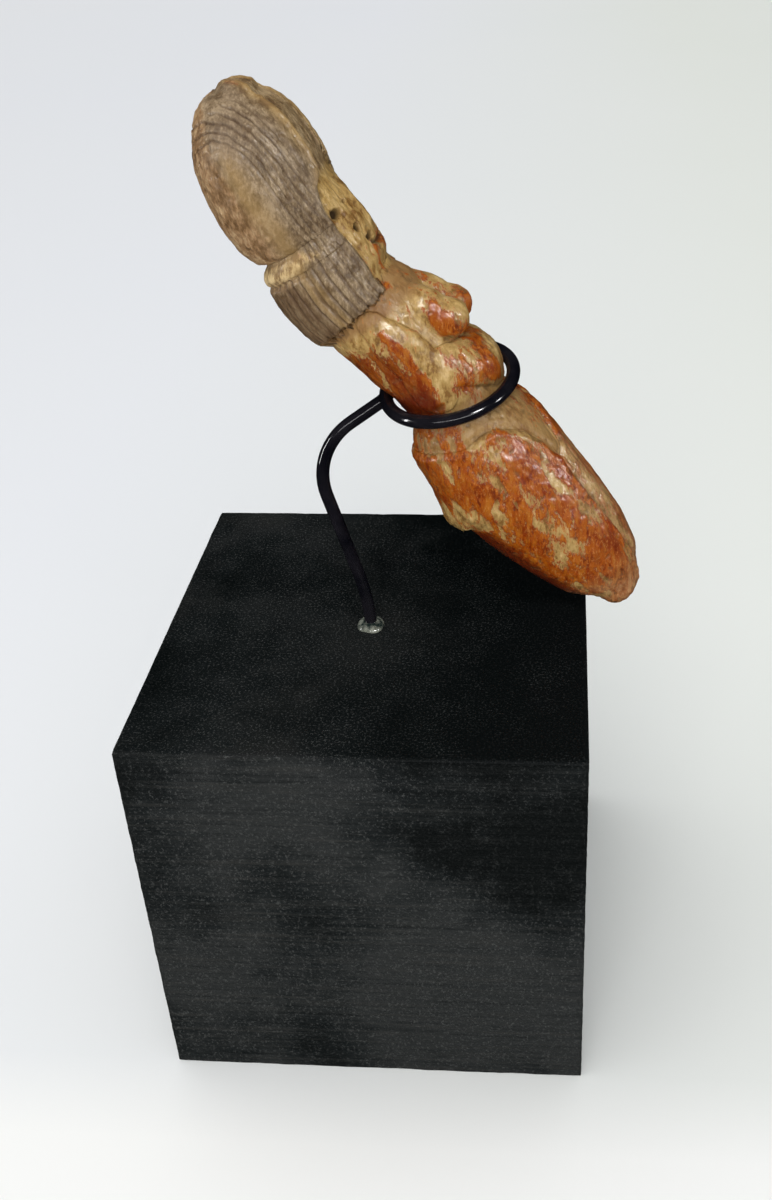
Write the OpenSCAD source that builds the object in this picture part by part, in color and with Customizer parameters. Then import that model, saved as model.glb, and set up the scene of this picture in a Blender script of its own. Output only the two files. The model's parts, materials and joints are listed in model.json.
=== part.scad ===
// Small clay fertility doll held at the waist by a bent rod on a wooden block.
// The origin is the centre of the block's underside, and the doll faces +X.

/* [Block] */
// Side of the cube-shaped wooden block
block_side = 50.8; // [45:0.1:60]
// Depth of the hole drilled for the rod
bore_depth = 12.7; // [8:0.1:30]
// Diameter of the hole drilled for the rod
bore_d = 1.98; // [1.8:0.01:3]
// Where the rod stands on the top face, from the block's centre
rod_foot = [-0.62, -1.25];

/* [Rod] */
// Diameter of the bent rod
rod_d = 1.5; // [1.2:0.05:1.6]
// Mean radius of the ring round the doll's waist
ring_r = 7.14; // [7.1:0.01:7.3]
// Direction the ring's plane leans away from, as a vector square to the ring
ring_normal = [-0.186, -0.175, 0.967];
// Height of the first, gentle bend
foot_bend_z = 54.6; // [53:0.1:56]
// Corner of the large bend at the left, before it is rounded
neck_corner = [-6.16, -0.69, 74.28];
// Corner behind the ring's left end, before it is rounded
back_corner = [3.22, 1.05, 80.42];
// Bend radii along the rod: foot, large bend, back corner, ring lead-in
bend_r = [30, 8, 2.4, 2];
// Angle round the ring at which the rod runs into it
join_angle = 139; // [120:1:150]
// Angle round the ring at which the rod's free end stops
free_end_angle = 172; // [165:1:180]

/* [Glue] */
// Radius of the bead of glue on the block
bead_r = 1.9; // [1.2:0.1:3]
// Height of the bead of glue
bead_h = 0.8; // [0.3:0.1:1.5]

/* [Doll pose] */
// Centre of the waist ring, which the doll's long axis passes through
waist = [9.92, 0, 82.52];
// Lean of the doll's long axis from upright
doll_lean = 32.3; // [25:0.1:38]

/* [Doll] */
// Height of the crown above the waist
crown_z = 38.2; // [37:0.1:39]
// How far the toes reach below the waist
foot_drop = 34.2; // [33:0.1:36]
// Height of the flat joint between torso and neck
neck_z = 13.2; // [12.5:0.1:14]
// Depth of the flat joint between torso and legs
hip_z = -4.4; // [-4.6:0.1:-4]
// Radius of the neck
neck_r = 3.9; // [3:0.1:4.5]
// Radius of each breast
breast_r = 2.2; // [1.8:0.1:2.5]
// Sideways distance of each breast's centre from the middle
breast_y = 1.75; // [1.5:0.05:2.2]
// Thickness of the arms
arm_r = 1.6; // [1.3:0.1:1.8]

/* [Hidden] */
$fn = 64;

far = 60;
half_far = far / 2;
bore_floor = block_side - bore_depth;

// The ring's own axes: u is level with the doll's front, v points to the back
ring_n = ring_normal / norm(ring_normal);
ring_u = unit([1, 0, 0] - ring_n.x * ring_n);
ring_v = cross(ring_n, ring_u);

function unit(v) = v / norm(v);
function level(v, n) = unit(v - (v * n) * n);
function ring_at(angle) = waist + ring_r * (cos(angle) * ring_u + sin(angle) * ring_v);
function ring_heading(angle) = sin(angle) * ring_u - cos(angle) * ring_v;

ring_start = ring_at(join_angle);
lead_in = 1.89;
bend_steps = [4, 12, 8, 5];
ring_steps = 48;
rod_sides = 12;
rod_route = [
    [rod_foot.x, rod_foot.y, bore_floor],
    [rod_foot.x, rod_foot.y, foot_bend_z],
    neck_corner,
    back_corner,
    ring_start - lead_in * ring_heading(join_angle),
    ring_start
];

// Points of the rod's centreline, one after another: each corner rounded to its
// bend radius, then round the ring to the free end
function turn(d1, d2) = acos(d1 * d2);
function corner_arc(b, d1, d2, r, steps) =
    let (inward = unit(cross(cross(d1, d2), d1)))
    let (middle = b - r * tan(turn(d1, d2) / 2) * d1 + r * inward)
    [for (i = [0 : steps])
        let (t = turn(d1, d2) * i / steps)
        middle + r * (sin(t) * d1 - cos(t) * inward)];
ring_sweep = 360 - (free_end_angle - join_angle);
rod_line = concat(
    [rod_route[0]],
    [for (i = [1 : len(rod_route) - 2])
        each corner_arc(
            rod_route[i],
            unit(rod_route[i] - rod_route[i - 1]),
            unit(rod_route[i + 1] - rod_route[i]),
            bend_r[i - 1],
            bend_steps[i - 1]
        )],
    [for (i = [0 : ring_steps]) ring_at(join_angle - ring_sweep * i / ring_steps)]
);

// Clay colours
buff = [0.62, 0.50, 0.33];
red_slip = [0.66, 0.29, 0.13];
hair_brown = [0.40, 0.34, 0.27];

// Tube of radius r along a line of points, with flat ends. Each section's first
// spoke is carried along the line, so that the tube doesn't twist.
module tube(line, r, sides) {
    last = len(line) - 1;
    heading = [for (i = [0 : last]) unit(line[min(i + 1, last)] - line[max(i - 1, 0)])];
    spokes = [
        for (i = 0, s = [1, 0, 0]; i <= last; i = i + 1, s = level(s, heading[min(i, last)])) s
    ];
    points = [
        for (i = [0 : last])
            let (x = level(spokes[i], heading[i]), y = cross(heading[i], x))
            for (k = [0 : sides - 1])
                line[i] + r * (cos(360 * k / sides) * x + sin(360 * k / sides) * y)
    ];
    walls = [
        for (i = [0 : last - 1], k = [0 : sides - 1])
            let (next = (k + 1) % sides, a = i * sides, b = a + sides)
            [a + k, b + k, b + next, a + next]
    ];
    first_end = [for (k = [0 : sides - 1]) k];
    last_end = [for (k = [sides - 1 : -1 : 0]) last * sides + k];
    polyhedron(points, concat(walls, [first_end, last_end]));
}

module base_block() {
    color([0.05, 0.05, 0.05])
        difference() {
            translate([-block_side / 2, -block_side / 2, 0])
                cube(block_side);
            translate([rod_foot.x, rod_foot.y, bore_floor])
                cylinder(d = bore_d, h = bore_depth + 1);
        }
}

module support_rod() {
    color([0.03, 0.03, 0.03])
        tube(rod_line, rod_d / 2, rod_sides);
}

// Glue that fills the drilled hole round the rod and stands up as a bead
module glue_bead() {
    color([0.45, 0.43, 0.38, 0.7])
        translate([rod_foot.x, rod_foot.y, 0])
            rotate_extrude()
                polygon(concat(
                    [[rod_d / 2, bore_floor], [bore_d / 2, bore_floor], [bore_d / 2, block_side]],
                    [for (a = [0 : 15 : 75]) [bead_r * cos(a), block_side + bead_h * sin(a)]],
                    [[rod_d / 2, block_side + bead_h]]
                ));
}

// Doll's frame: +Z from feet to head, +X the way it faces, +Y its left side
module on_doll() {
    translate(waist)
        rotate([0, -doll_lean, 0])
            children();
}

module lump(centre, radii) {
    translate(centre)
        scale(radii)
            sphere(1);
}

// Everything above or below a level across the doll
module above(z) {
    translate([-half_far, -half_far, z])
        cube(far);
}

module below(z) {
    translate([-half_far, -half_far, z - far])
        cube(far);
}

module mirrored(side) {
    if (side > 0)
        children();
    else
        mirror([0, 1, 0])
            children();
}

// Torso without limbs: chest, the waist that the ring runs round, belly
module torso_form() {
    translate([-0.5, 0, 0])
        rotate_extrude()
            polygon([
                [0, hip_z], [6.2, hip_z], [5.5, -3.4], [5.1, -2.6],
                [5.1, 2.8], [5.5, 4], [5.7, 6], [5.7, 8.5],
                [5.3, 10.5], [4.6, 12], [neck_r, neck_z], [0, neck_z]
            ]);
}

module torso() {
    color(buff)
        on_doll()
            torso_form();
}

// Head with its neck: a narrow face plate on a rounded core
module head_form() {
    difference() {
        union() {
            translate([-0.5, 0, neck_z])
                cylinder(r = neck_r, h = 8);
            lump([-1.1, 0, 26.2], [4.2, 4.4, 9.6]);
        }
        below(neck_z);
    }
}

module head() {
    color(buff)
        on_doll()
            difference() {
                head_form();
                for (y = [-2.4, 2.4]) {
                    translate([2.6, y, 22.6])
                        sphere(0.4);
                    translate([2.2, y, 20.2])
                        sphere(0.5);
                }
                translate([2.7, 0, 17.6])
                    rotate([90, 0, 0])
                        cylinder(r = 0.35, h = 2.4, center = true);
            }
}

// Open front of the hair, where the face shows
module face_window() {
    lump([5.2, 0, 21.5], [3.4, 3.6, 13]);
}

module hair_cap() {
    color(hair_brown)
        on_doll()
            difference() {
                lump([-2.3, 0, 27], [6.6, 6.8, crown_z - 27]);
                below(22.1);
                head_form();
                face_window();
            }
}

// Rolled band that ties the hair at the nape
module hair_tie() {
    color(buff)
        on_doll()
            difference() {
                translate([-2.2, 0, 21.1])
                    intersection() {
                        cylinder(r = 5.9, h = 2, center = true);
                        sphere(6.2);
                    }
                head_form();
                face_window();
                above(22.1);
                below(20.1);
            }
}

// Hair that falls from the tie to the shoulders
module hair_fall() {
    color(hair_brown)
        on_doll()
            difference() {
                lump([-2.5, 0, 17.2], [6.6, 6.5, 8.6]);
                above(20.1);
                below(13.2);
                head_form();
                face_window();
            }
}

module breast_form(side) {
    translate([4.7, side * breast_y, 6.8])
        sphere(breast_r);
}

module breast(side) {
    color(red_slip)
        on_doll()
            difference() {
                breast_form(side);
                torso_form();
                if (side < 0)
                    translate([0, half_far, 0])
                        cube(far, center = true);
                else
                    translate([0, -half_far, 0])
                        cube(far, center = true);
            }
}

// Arm down the side and folded across under the breasts
module arm(side) {
    color(red_slip)
        on_doll()
            difference() {
                mirrored(side) {
                    translate([-0.5, 5.3, 7.4])
                        rotate([-3, 0, 0])
                            lump([0, 0, 0], [arm_r * 1.1, arm_r, 4.7]);
                    translate([2.1, 3.8, 3.9])
                        rotate([0, 0, -40])
                            rotate([0, 96, 0])
                                lump([0, 0, 0], [arm_r, arm_r, 4.2]);
                }
                torso_form();
            }
}

// Leg from the hip to the blunt foot, flat where it meets the other one
module leg(side) {
    color(red_slip)
        on_doll()
            difference() {
                union() {
                    lump([-1.1, side * 3.7, -10.6], [7.4, 3.75, 9.2]);
                    translate([0.7, side * 3.1, -19.4])
                        rotate([side * -4, -10, 0])
                            lump([0, 0, 0], [5.9, 2.9, foot_drop - 19.4]);
                }
                above(hip_z);
            }
}

module right_breast() {
    breast(-1);
}

module left_breast() {
    breast(1);
}

module right_arm() {
    arm(-1);
}

module left_arm() {
    arm(1);
}

module right_leg() {
    leg(-1);
}

module left_leg() {
    leg(1);
}

base_block();
support_rod();
glue_bead();
torso();
head();
hair_cap();
hair_tie();
hair_fall();
right_breast();
left_breast();
right_arm();
left_arm();
right_leg();
left_leg();
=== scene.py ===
"""Looks for the fertility doll on its rod stand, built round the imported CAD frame.

Lengths in the sculpting code are millimetres; they become metres as each mesh is made.
The doll is sculpted in its own frame (s, x, y): s along its axis from waist to head,
x the way it faces, y to its left. Angles round the axis are degrees from x towards y.
"""
import json
import math

import bpy
import numpy as np
from mathutils import Matrix, Vector


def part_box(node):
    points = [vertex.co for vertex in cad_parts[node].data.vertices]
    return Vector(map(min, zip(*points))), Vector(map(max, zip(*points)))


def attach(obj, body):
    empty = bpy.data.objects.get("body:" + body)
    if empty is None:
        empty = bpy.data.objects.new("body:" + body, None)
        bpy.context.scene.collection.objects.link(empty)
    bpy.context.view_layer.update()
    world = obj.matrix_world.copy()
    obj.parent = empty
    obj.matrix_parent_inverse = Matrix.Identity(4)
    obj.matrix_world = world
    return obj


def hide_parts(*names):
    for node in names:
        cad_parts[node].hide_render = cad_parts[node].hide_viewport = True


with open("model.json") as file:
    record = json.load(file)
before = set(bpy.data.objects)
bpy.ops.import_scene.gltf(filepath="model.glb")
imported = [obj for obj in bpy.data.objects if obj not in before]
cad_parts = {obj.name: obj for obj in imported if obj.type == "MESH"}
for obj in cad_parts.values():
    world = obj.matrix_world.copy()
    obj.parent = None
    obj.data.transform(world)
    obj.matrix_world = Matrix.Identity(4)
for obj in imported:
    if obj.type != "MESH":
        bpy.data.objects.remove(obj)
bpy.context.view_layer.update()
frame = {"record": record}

MM = 0.001
BLOCK = np.array([list(corner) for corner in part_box("base_block")]) / MM
SIDE = BLOCK[1][0] - BLOCK[0][0]
BEAD = np.array([list(corner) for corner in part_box("glue_bead")]) / MM
FOOT = (BEAD[0] + BEAD[1]) / 2
JOINT = frame["record"]["behaviour"]["joints"][0]
WAIST = np.array(JOINT["pos_m"]) / MM
UP = np.array(JOINT["axis"])
LEFT = np.array([0.0, 1.0, 0.0])
FACING = np.cross(LEFT, UP)


# -------------------- helpers

def smoothstep(a, b, t):
    u = np.clip((t - a) / (b - a), 0, 1)
    return u * u * (3 - 2 * u)


def bump(d, width):
    """1 at d = 0, falling smoothly to nothing by about twice the width."""
    return np.exp(-(d / width) ** 2)


def smooth_max(a, b, soft):
    h = np.clip(0.5 + 0.5 * (a - b) / soft, 0, 1)
    return b + (a - b) * h + soft * h * (1 - h)


def lattice(ix, iy, iz, seed):
    """A repeatable random number from 0 to 1 for each lattice point."""
    n = ix * 374761393 + iy * 668265263 + iz * 2147483647 + seed * 974634777
    n = (n ^ (n >> 13)) * 1274126177
    n = n ^ (n >> 16)
    return (n & 0xFFFF) / 65535.0


def noise(p, size, seed=0):
    """Smooth noise from -1 to 1 with features about size across. size may be a triple."""
    q = p / np.asarray(size, dtype=float)
    base = np.floor(q).astype(np.int64)
    f = q - base
    f = f * f * (3 - 2 * f)
    total = 0
    for dx in (0, 1):
        wx = f[..., 0] if dx else 1 - f[..., 0]
        for dy in (0, 1):
            wy = f[..., 1] if dy else 1 - f[..., 1]
            for dz in (0, 1):
                wz = f[..., 2] if dz else 1 - f[..., 2]
                corner = lattice(base[..., 0] + dx, base[..., 1] + dy, base[..., 2] + dz, seed)
                total = total + wx * wy * wz * corner
    return 2 * total - 1


def fractal(p, size, octaves, seed=0):
    total, share = 0, 1.0
    for k in range(octaves):
        total = total + share * noise(p, np.asarray(size, dtype=float) / 2 ** k, seed + k)
        share *= 0.5
    return total / (2 - 2 * share)


class Track:
    """Smooth curves through rows of (place, value, ...)."""

    def __init__(self, rows, soft=0.45, step=0.05):
        rows = np.array(sorted(rows), dtype=float)
        self.at = np.arange(rows[0, 0] - 2, rows[-1, 0] + 2 + step, step)
        reach = np.arange(-3 * soft, 3 * soft + step, step)
        kernel = np.exp(-(reach / soft) ** 2)
        kernel /= kernel.sum()
        self.values = []
        for column in rows.T[1:]:
            sharp = np.interp(self.at, rows[:, 0], column)
            padded = np.pad(sharp, len(kernel) // 2, mode="edge")
            self.values.append(np.convolve(padded, kernel, mode="valid")[: len(self.at)])

    def __call__(self, s):
        return [np.interp(s, self.at, column) for column in self.values]


ARC = 0.115    # mm round the body for one degree


def line_distance(s, angle, points):
    """Distance in mm from a line of (s, angle) points drawn on the unrolled body, and
    how far along the line the nearest point is, from 0 to 1."""
    w = angle * ARC
    best = np.full(np.shape(s), 1e9)
    along = np.zeros(np.shape(s))
    places = [(p[0], p[1] * ARC) for p in points]
    lengths = [math.dist(a, b) for a, b in zip(places, places[1:])]
    start, whole = 0.0, sum(lengths)
    for (a, b), length in zip(zip(places, places[1:]), lengths):
        ds, dw = (b[0] - a[0]) / length, (b[1] - a[1]) / length
        t = np.clip((s - a[0]) * ds + (w - a[1]) * dw, 0, length)
        d = np.hypot(s - a[0] - t * ds, w - a[1] - t * dw)
        nearer = d < best
        best = np.where(nearer, d, best)
        along = np.where(nearer, (start + t) / whole, along)
        start += length
    return best, along


# -------------------- the doll's form

# Places along the doll's axis: its ends, the top of the face, the borders and middle of the hair
# tie, and the far half of the ring, with the depth of the hollow that makes room for it
CROWN, TOES = 38.15, -33.85
FACE_TOP = 36.9
CAP_EDGE, TIE, FALL_EDGE = 21.75, 20.7, 19.6
RING_AT, RING_ROOM = 2.7, 0.42

# Beyond these two places the sculpting rays fan out over crown and feet
FAN_TOP, FAN_BOTTOM = 33.0, -31.0
COLUMNS = 440    # rays in each turn round the axis
SQUARENESS = 2.15    # power of the sections: 2 is an ellipse, more is squarer

# Axis that the sculpting rays start from: s, x
axis_track = Track([
    (33, -2.1), (28, -2.4), (22, -2.8), (16, -2.8), (12, -2.2), (8, -1.2), (4, -0.7),
    (0, -0.4), (-4, -0.6), (-9, -0.9), (-13, -1.0), (-16, -0.4), (-20, 0.35), (-24, 1.0),
    (-28, 1.6), (-31, 2.0),
], soft=1.0)

# Head with hair: s, front, back, half width
head_track = Track([
    (40, 3.3, -7.2, 6.6), (36, 3.5, -7.8, 6.8), (33, 3.75, -8.6, 7.0), (28, 3.4, -9.45, 7.05),
    (26, 3.0, -9.6, 6.95), (24.4, 3.1, -9.6, 6.85), (23.0, 3.3, -9.15, 6.6), (22.1, 3.4, -8.7, 6.35),
    (21.6, 3.45, -7.8, 6.2), (21.1, 3.5, -8.4, 6.15), (20.2, 3.55, -9.15, 6.25), (19, 3.5, -9.75, 6.4),
    (17.2, 3.4, -9.85, 6.5), (16.2, 3.3, -9.85, 6.55), (15.4, 2.7, -9.85, 6.6), (14.6, 2.6, -9.75, 6.6),
    (13.8, 3.1, -9.7, 6.55), (12.6, 3.6, -9.45, 6.45), (11, 4.0, -8.8, 6.3),
], soft=0.3)

# Body and legs without arms and breasts: s, front, back, half width
body_track = Track([
    (16, 2.9, -6.4, 5.0), (14.6, 2.6, -7.1, 5.3), (13.8, 3.1, -7.4, 5.6), (12.4, 3.75, -7.8, 6.0),
    (11, 4.0, -7.95, 6.15), (10, 4.05, -7.7, 6.15), (8, 4.2, -7.25, 6.0), (5.2, 4.5, -6.75, 5.8),
    (4.2, 4.7, -6.5, 5.85), (3.3, 4.9, -5.95, 5.85), (2.5, 5.0, -5.7, 5.85), (1.0, 5.3, -5.6, 5.9),
    (-0.6, 5.2, -5.7, 5.7), (-1.6, 5.0, -6.0, 5.65), (-2.7, 4.95, -6.8, 5.95), (-4, 5.35, -7.6, 6.6),
    (-5, 5.8, -7.9, 6.95), (-9, 6.5, -8.3, 7.55), (-13, 6.85, -8.15, 7.65), (-16, 7.05, -7.3, 7.35),
    (-20, 7.2, -6.25, 6.9), (-24, 7.25, -4.9, 6.1), (-28, 6.7, -3.25, 4.9), (-29.5, 6.0, -1.9, 4.2),
    (-31, 5.35, -0.4, 3.5), (-33, 4.5, 0.8, 2.9), (-36, 3.9, 1.5, 2.6),
], soft=0.5)

# Lower edge of the hair by angle, and half the angle of the opening for the face by s
hair_edge = Track([
    (0, 15.2), (30, 14.9), (40, 13.9), (47, 13.35), (60, 13.1), (80, 13.0), (100, 12.7),
    (120, 12.3), (140, 11.9), (180, 11.2),
], soft=3.0, step=0.5)
face_edge = Track([
    (40, 8), (36.9, 20), (33, 22), (30, 22), (27, 24), (26.2, 30), (25.6, 40), (24.5, 46), (23, 48),
    (21, 47), (19, 45), (16.6, 44), (14.3, 46), (12, 47),
], soft=0.3)


def section(s, angle, front, back, half):
    """Radius, from the sculpting axis, of a section given by its front, back and half width."""
    (centre,) = axis_track(s)
    cosine, sine = np.cos(np.radians(angle)), np.sin(np.radians(angle))
    depth = np.where(cosine > 0, front - centre, centre - back)
    depth, half = np.maximum(depth, 0.01), np.maximum(half, 0.01)
    power = SQUARENESS
    return (np.abs(cosine / depth) ** power + np.abs(sine / half) ** power) ** (-1 / power)


def ellipsoid(s, angle, centre, radii, tilt=0.0):
    """Outer radius at which a ray leaves an ellipsoid tilted about y, or 0 if it misses."""
    (axis_x,) = axis_track(s)
    c, n = math.cos(math.radians(tilt)), math.sin(math.radians(tilt))
    away = [s - centre[0], axis_x - centre[1], np.zeros_like(s) - centre[2]]
    ray = [np.zeros_like(s), np.cos(np.radians(angle)), np.sin(np.radians(angle))]
    turned = []
    for v in (away, ray):
        turned.append([
            (c * v[0] - n * v[1]) / radii[0],
            (n * v[0] + c * v[1]) / radii[1],
            v[2] / radii[2],
        ])
    o, d = turned
    a = sum(k * k for k in d)
    b = sum(p * q for p, q in zip(o, d))
    inside = b * b - a * (sum(k * k for k in o) - 1)
    return np.where(inside > 0, (-b + np.sqrt(np.maximum(inside, 0))) / a, 0)


def ridge(s, angle, points, width, height):
    """Height of a rolled limb laid along a line, and below the surface away from it.

    width and height list the limb's half width and height at even steps along the line."""
    d, along = line_distance(s, angle, points)
    steps = np.linspace(0, 1, len(width))
    w, h = np.interp(along, steps, width), np.interp(along, steps, height)
    return np.where(d < w, h * np.sqrt(np.maximum(0, 1 - (d / w) ** 2)), -0.6)


# Lines of (s, angle): the arms as on the right side, where the legs begin, the groove between them
UPPER_ARM = [(11.2, -82), (8.0, -81), (5.0, -80), (1.8, -86)]
FOREARM = [(3.4, -64), (2.7, -48), (1.6, -30), (0.7, -12), (0.5, 0)]
LEG_TOP = [
    (-3.9, -180), (-3.9, -150), (-4.4, -118), (-5.2, -92), (-4.8, -72), (-5.1, -60), (-6.2, -48),
    (-7.6, -37), (-9.6, -29), (-11.6, -25), (-13.2, -18), (-12.0, -9), (-9.5, -3), (-7.5, 8),
    (-5.8, 26), (-4.8, 50), (-4.6, 70), (-5.2, 92), (-4.4, 118), (-3.9, 150), (-3.9, 180),
]
LEG_PARTING = [
    (-12.6, -21), (-15, -24), (-18, -25), (-22, -25), (-26, -23), (-29, -19), (-32, -10)]


def leg_side(s, angle):
    """Signed distance below the line where the legs begin."""
    d, _ = line_distance(s, angle, LEG_TOP)
    line = np.array(LEG_TOP)
    height = np.interp(angle, line[:, 1], line[:, 0])
    return np.where(s < height, d, -d)


def leg_parting(s):
    """Angle of the groove between the legs in front."""
    line = np.array(LEG_PARTING)[::-1]
    return np.interp(s, line[:, 0], line[:, 1])


def form(s, angle):
    """Radius of the doll at each place, the radii of its body, breasts and arms without the
    rest, and the distance below the line where the legs begin."""
    side = np.abs(angle)
    crown = np.clip((s - 28.0) / (CROWN - 28.0), 0, 1)
    crown = np.maximum(1 - crown ** 2.4, 0) ** (1 / 2.4)
    toes = np.clip((-32.0 - s) / (-32.0 - TOES), 0, 1)
    toes = np.sqrt(np.maximum(1 - toes ** 2, 0))

    hair = section(s, angle, *head_track(s)) * crown
    (edge,) = face_edge(s)
    window = smoothstep(edge + 2.5, edge - 2.5, side)
    upper = smoothstep(24.2, 25.6, s)
    rim = bump(side - edge - 3.5, 4.0) * (0.12 + 0.12 * upper)
    face_depth = 0.26 + 0.06 * upper
    hair = hair + crown * (rim - face_depth * window)
    # Rolled band that ties the hair, swelling at the nape and fading towards the face
    nape = smoothstep(62, 112, side)
    swell = 0.22 * nape + 0.2 * smoothstep(105, 130, side)
    hair = hair + swell * bump(s - TIE, 0.35 + 0.45 * nape)
    hair = hair - (0.02 + 0.32 * nape) * (1 - window) * (
        bump(s - CAP_EDGE, 0.28) + nape * bump(s - 19.5, 0.25))

    body = section(s, angle, *body_track(s))

    # Legs stand proud of the belly and are parted by a groove in front and behind
    below = leg_side(s, angle)
    body = body + 0.30 * smoothstep(-0.25, 0.7, below) - 0.14
    body = body - 0.12 * bump(below + 0.3, 0.35) + 0.10 * bump(below - 0.45, 0.35)
    reach = smoothstep(-12.0, -13.6, s) * smoothstep(-34.0, -31.0, s)
    across = (angle - leg_parting(s)) * ARC
    groove = bump(np.maximum(across, 0), 1.3) * bump(np.maximum(-across, 0), 0.25)
    parting = 0.75 * groove - 0.18 * bump(across + 0.65, 0.35)
    body = body - parting * reach * (side < 90)
    behind = smoothstep(-7.5, -12.0, s) * (side > 90)
    across = np.sin(np.radians(angle)) * body
    body = body - (bump(across, 0.5) * 0.35 + bump(across, 1.8) * 0.35) * behind
    body = body * toes

    # Broken ledge under the buttocks
    rough = 0.5 * np.sin(side * 0.31) + 0.3 * np.sin(side * 0.83 + 1)
    brink = -13.0 - 1.4 * smoothstep(120, 142, side)
    ledge = smoothstep(brink - 0.3, brink + 0.2, s + 0.25 * rough) * smoothstep(-8.5, -13.0, s)
    body = body + ledge * (0.3 * smoothstep(112, 124, side) + 0.7 * smoothstep(124, 158, side))

    # Breasts: round below, drawn out upwards towards the neck
    breasts = {}
    for name, y in (("right_breast", -1.9), ("left_breast", 1.9)):
        round_part = ellipsoid(s, angle, (6.75, 4.25, y * 0.97), (2.15, 2.6, 2.0))
        slope = ellipsoid(s, angle, (8.7, 3.3, y * 1.05), (4.2, 2.3, 2.15), 28)
        breasts[name] = smooth_max(round_part, slope, 1.3)

    arms = {}
    for name, sign in (("right_arm", 1), ("left_arm", -1)):
        upper_arm = ridge(
            s, sign * angle, UPPER_ARM, (1.7, 2.75, 2.8, 2.7), (0.5, 0.85, 0.65, 0.15))
        forearm = ridge(
            s, sign * angle, FOREARM, (2.3, 2.5, 2.8, 3.2, 3.3), (0.45, 0.75, 1.1, 1.4, 1.45))
        arms[name] = body + smooth_max(upper_arm, forearm, 0.3)

    total = body
    for radius in breasts.values():
        total = smooth_max(total, radius, 0.35)
    for radius in arms.values():
        total = smooth_max(total, radius, 0.45)
    # Room for the ring on the far arm and the back
    far_side = smoothstep(60, 95, angle) + smoothstep(-150, -180, angle)
    total = total - RING_ROOM * bump(s - RING_AT, 1.1) * far_side
    total = np.where(s < TOES, 0, total)

    # The hair lies over all of this down to its lower edge
    low = hair_edge(side)[0] + 0.12 * np.sin(side * 0.37) + 0.08 * np.sin(side * 0.93)
    hair_share = smoothstep(-0.16, 0.2, s - low)
    total = total * (1 - hair_share) + np.maximum(hair, total * (s < 15)) * hair_share
    return total, body, breasts, arms, below


def form_radius(s, angle):
    return form(s, angle)[0]


def fan_lengths(start, tilt, angle):
    """How far each tilted ray runs from the axis to the clay's surface, by halving."""
    near, far = np.zeros_like(start), np.full_like(start, 12.0)
    for _ in range(18):
        t = (near + far) / 2
        outside = t * np.cos(tilt) > form_radius(start + t * np.sin(tilt), angle)
        near, far = np.where(outside, near, t), np.where(outside, t, far)
    return (near + far) / 2


def doll_grid():
    """Points where rays from the axis leave the clay, in rows from feet to crown, and the
    angle of each ray round the axis."""
    tilt_top = np.arange(1.0, 89.5, 0.95)
    tilt_bottom = np.arange(1.2, 89.0, 1.7)[::-1]
    middle = np.arange(FAN_BOTTOM, FAN_TOP + 0.01, 0.1)
    start = np.concatenate([
        np.full(len(tilt_bottom), FAN_BOTTOM), middle, np.full(len(tilt_top), FAN_TOP)])
    tilt = np.concatenate([-tilt_bottom, np.zeros(len(middle)), tilt_top])
    fans = tilt != 0
    columns = np.arange(-180, 180, 360 / COLUMNS)
    start, tilt = start[:, None] + 0 * columns, np.radians(tilt[:, None] + 0 * columns)
    angle = columns[None, :] + 0 * start
    t = np.zeros_like(start)
    t[~fans] = form_radius(start[~fans], angle[~fans])
    t[fans] = fan_lengths(start[fans], tilt[fans], angle[fans])
    s = start + t * np.sin(tilt)
    radius = t * np.cos(tilt)
    (axis_x,) = axis_track(start)
    a = np.radians(angle)
    return np.stack([s, axis_x + radius * np.cos(a), radius * np.sin(a)], axis=-1), angle


def grid_normals(p):
    along = np.gradient(p, axis=0)
    around = (np.roll(p, -1, axis=1) - np.roll(p, 1, axis=1)) / 2
    n = np.cross(along, around)
    n /= np.maximum(np.linalg.norm(n, axis=-1, keepdims=True), 1e-9)
    return -n


# Spacing in mm of the cut strands and of the scratches between them, on the cap and on the fall
CAP_STRAND, CAP_SCRATCH = 0.62, 0.27
FALL_STRAND, FALL_SCRATCH = 1.02, 0.37


def hair_cuts(p, side, on_hair, window, on_cap, wander):
    """Depths from 0 to 1 of the strands cut in the hair and in the strip above the face:
    nested loops over the crown, and straight strands on the fall."""
    s, x, y = p[..., 0], p[..., 1], p[..., 2]
    loops = np.hypot(0.75 * np.maximum(s - 30, 0), x + 4.6) + 0.22 * wander
    unrolled = side * ARC
    looped = s > 20.5
    strand_noise = fractal(p * [0.22, 1, 1], 0.8, 3, 9)
    coarse = np.where(looped, loops / CAP_STRAND, unrolled / FALL_STRAND) + 0.3 * strand_noise
    fine = np.where(looped, loops / CAP_SCRATCH, unrolled / FALL_SCRATCH) + 0.55 * strand_noise
    patchy = smoothstep(-0.35, 0.35, fractal(p * [0.3, 1, 1], 1.1, 2, 21))
    cuts = np.clip(np.cos(2 * np.pi * coarse) * 2.0 - 0.85, 0, 1) * (0.5 + 0.5 * patchy)
    scratches = np.clip(np.cos(2 * np.pi * fine) * 2 - 0.9, 0, 1) * (1 - patchy)
    front_part = 0.12 + 0.88 * smoothstep(2.6, 4.2, loops - 3 * smoothstep(-7.0, -9.0, x))
    front_part = front_part * (0.3 + 0.7 * smoothstep(44, 54, side))
    worn_top = smoothstep(37.3, 36.3, s)
    on_fall = smoothstep(19.8, 19.4, s)
    over_tie = (1 - on_cap) * (1 - on_fall) * smoothstep(92, 78, side)
    reach = on_cap * front_part + on_fall + over_tie
    lines = (cuts + 0.35 * scratches) * on_hair * worn_top * reach
    strip = smoothstep(25.5, 27, s) * window
    strip_lines = strip * np.clip(np.cos(2 * np.pi * (y / 0.8 + 0.3 * strand_noise)) * 2 - 1, 0, 1)
    return lines, strip, strip_lines


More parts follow.
